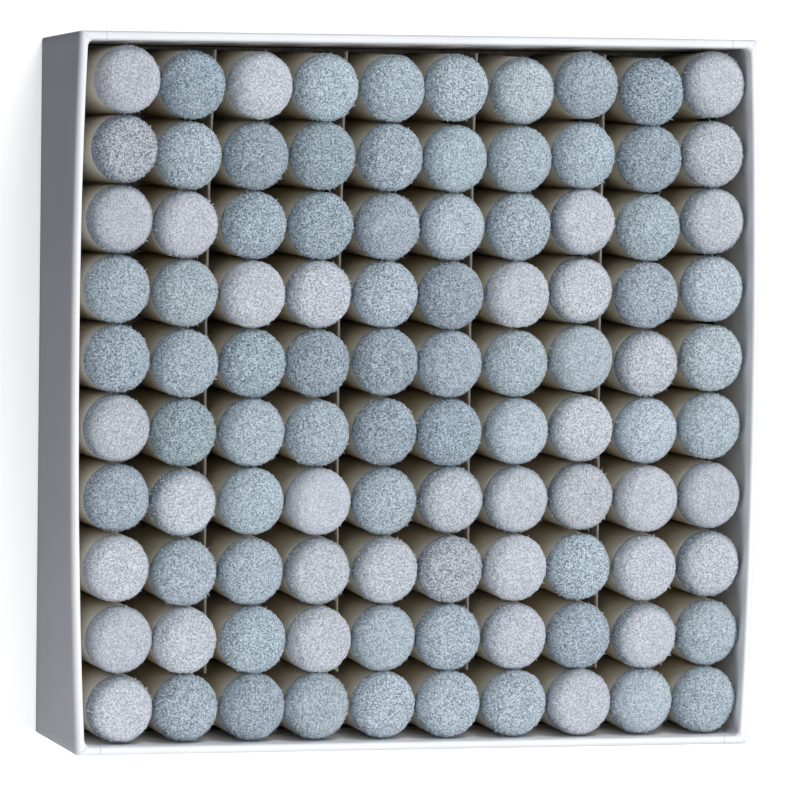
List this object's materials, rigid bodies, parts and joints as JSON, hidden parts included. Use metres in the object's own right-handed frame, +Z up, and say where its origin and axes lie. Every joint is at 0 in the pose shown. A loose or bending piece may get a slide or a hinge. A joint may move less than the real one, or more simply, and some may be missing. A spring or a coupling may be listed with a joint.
{
  "type": "cue tip box",
  "caption": "Open paper-covered board tray of push-on cue tips, each an ivory plastic ferrule with a blue-grey leather pad, in channels between card dividers.",
  "frame": {"origin": "centre of the tray on the surface it rests on", "axes": "+Z up out of the open top, -Y towards the front row of single tips, +X to the right along that row"},
  "size_m": [0.1402, 0.1368, 0.027],
  "materials": {
    "grey_board": "raw greyboard",
    "white_paper": "smooth coated white paper, satin",
    "stay_paper": "gummed brown paper tape",
    "divider_card": "thin grey-brown card, matt",
    "ivory_plastic": "moulded ivory plastic, satin, slightly translucent",
    "blue_leather": "sanded blue-grey leather, matt and fibrous"
  },
  "bodies": {
    "tray": {"tray_board": "grey_board", "paper_wrap": "white_paper", "base_sheet": "white_paper", "corner_stay_1": "stay_paper", "corner_stay_2": "stay_paper", "corner_stay_3": "stay_paper", "corner_stay_4": "stay_paper"},
    "divider_1": {"card_divider_1": "divider_card"},
    "divider_2": {"card_divider_2": "divider_card"},
    "divider_3": {"card_divider_3": "divider_card"},
    "divider_4": {"card_divider_4": "divider_card"},
    "tip_01": {"ferrule_01": "ivory_plastic", "leather_pad_01": "blue_leather"},
    "tip_02": {"ferrule_02": "ivory_plastic", "leather_pad_02": "blue_leather"},
    "tip_03": {"ferrule_03": "ivory_plastic", "leather_pad_03": "blue_leather"},
    "tip_04": {"ferrule_04": "ivory_plastic", "leather_pad_04": "blue_leather"},
    "tip_05": {"ferrule_05": "ivory_plastic", "leather_pad_05": "blue_leather"},
    "tip_06": {"ferrule_06": "ivory_plastic", "leather_pad_06": "blue_leather"},
    "tip_07": {"ferrule_07": "ivory_plastic", "leather_pad_07": "blue_leather"},
    "tip_08": {"ferrule_08": "ivory_plastic", "leather_pad_08": "blue_leather"},
    "tip_09": {"ferrule_09": "ivory_plastic", "leather_pad_09": "blue_leather"},
    "tip_10": {"ferrule_10": "ivory_plastic", "leather_pad_10": "blue_leather"},
    "column_01": {"column_ferrules_01": "ivory_plastic", "column_pads_01": "blue_leather"},
    "column_02": {"column_ferrules_02": "ivory_plastic", "column_pads_02": "blue_leather"},
    "column_03": {"column_ferrules_03": "ivory_plastic", "column_pads_03": "blue_leather"},
    "column_04": {"column_ferrules_04": "ivory_plastic", "column_pads_04": "blue_leather"},
    "column_05": {"column_ferrules_05": "ivory_plastic", "column_pads_05": "blue_leather"},
    "column_06": {"column_ferrules_06": "ivory_plastic", "column_pads_06": "blue_leather"},
    "column_07": {"column_ferrules_07": "ivory_plastic", "column_pads_07": "blue_leather"},
    "column_08": {"column_ferrules_08": "ivory_plastic", "column_pads_08": "blue_leather"},
    "column_09": {"column_ferrules_09": "ivory_plastic", "column_pads_09": "blue_leather"},
    "column_10": {"column_ferrules_10": "ivory_plastic", "column_pads_10": "blue_leather"}
  },
  "joints": [
    {"name": "divider_1_lift", "type": "slide", "parent": "tray", "child": "divider_1", "axis": [0, 0, 1], "range_m": [0, 0.035]},
    {"name": "divider_2_lift", "type": "slide", "parent": "tray", "child": "divider_2", "axis": [0, 0, 1], "range_m": [0, 0.035]},
    {"name": "divider_3_lift", "type": "slide", "parent": "tray", "child": "divider_3", "axis": [0, 0, 1], "range_m": [0, 0.035]},
    {"name": "divider_4_lift", "type": "slide", "parent": "tray", "child": "divider_4", "axis": [0, 0, 1], "range_m": [0, 0.035]},
    {"name": "tip_01_lift", "type": "slide", "parent": "tray", "child": "tip_01", "axis": [0, 0, 1], "range_m": [0, 0.035]},
    {"name": "tip_02_lift", "type": "slide", "parent": "tray", "child": "tip_02", "axis": [0, 0, 1], "range_m": [0, 0.035]},
    {"name": "tip_03_lift", "type": "slide", "parent": "tray", "child": "tip_03", "axis": [0, 0, 1], "range_m": [0, 0.035]},
    {"name": "tip_04_lift", "type": "slide", "parent": "tray", "child": "tip_04", "axis": [0, 0, 1], "range_m": [0, 0.035]},
    {"name": "tip_05_lift", "type": "slide", "parent": "tray", "child": "tip_05", "axis": [0, 0, 1], "range_m": [0, 0.035]},
    {"name": "tip_06_lift", "type": "slide", "parent": "tray", "child": "tip_06", "axis": [0, 0, 1], "range_m": [0, 0.035]},
    {"name": "tip_07_lift", "type": "slide", "parent": "tray", "child": "tip_07", "axis": [0, 0, 1], "range_m": [0, 0.035]},
    {"name": "tip_08_lift", "type": "slide", "parent": "tray", "child": "tip_08", "axis": [0, 0, 1], "range_m": [0, 0.035]},
    {"name": "tip_09_lift", "type": "slide", "parent": "tray", "child": "tip_09", "axis": [0, 0, 1], "range_m": [0, 0.035]},
    {"name": "tip_10_lift", "type": "slide", "parent": "tray", "child": "tip_10", "axis": [0, 0, 1], "range_m": [0, 0.035]},
    {"name": "column_01_lift", "type": "slide", "parent": "tray", "child": "column_01", "axis": [0, 0, 1], "range_m": [0, 0.035]},
    {"name": "column_02_lift", "type": "slide", "parent": "tray", "child": "column_02", "axis": [0, 0, 1], "range_m": [0, 0.035]},
    {"name": "column_03_lift", "type": "slide", "parent": "tray", "child": "column_03", "axis": [0, 0, 1], "range_m": [0, 0.035]},
    {"name": "column_04_lift", "type": "slide", "parent": "tray", "child": "column_04", "axis": [0, 0, 1], "range_m": [0, 0.035]},
    {"name": "column_05_lift", "type": "slide", "parent": "tray", "child": "column_05", "axis": [0, 0, 1], "range_m": [0, 0.035]},
    {"name": "column_06_lift", "type": "slide", "parent": "tray", "child": "column_06", "axis": [0, 0, 1], "range_m": [0, 0.035]},
    {"name": "column_07_lift", "type": "slide", "parent": "tray", "child": "column_07", "axis": [0, 0, 1], "range_m": [0, 0.035]},
    {"name": "column_08_lift", "type": "slide", "parent": "tray", "child": "column_08", "axis": [0, 0, 1], "range_m": [0, 0.035]},
    {"name": "column_09_lift", "type": "slide", "parent": "tray", "child": "column_09", "axis": [0, 0, 1], "range_m": [0, 0.035]},
    {"name": "column_10_lift", "type": "slide", "parent": "tray", "child": "column_10", "axis": [0, 0, 1], "range_m": [0, 0.035]}
  ]
}
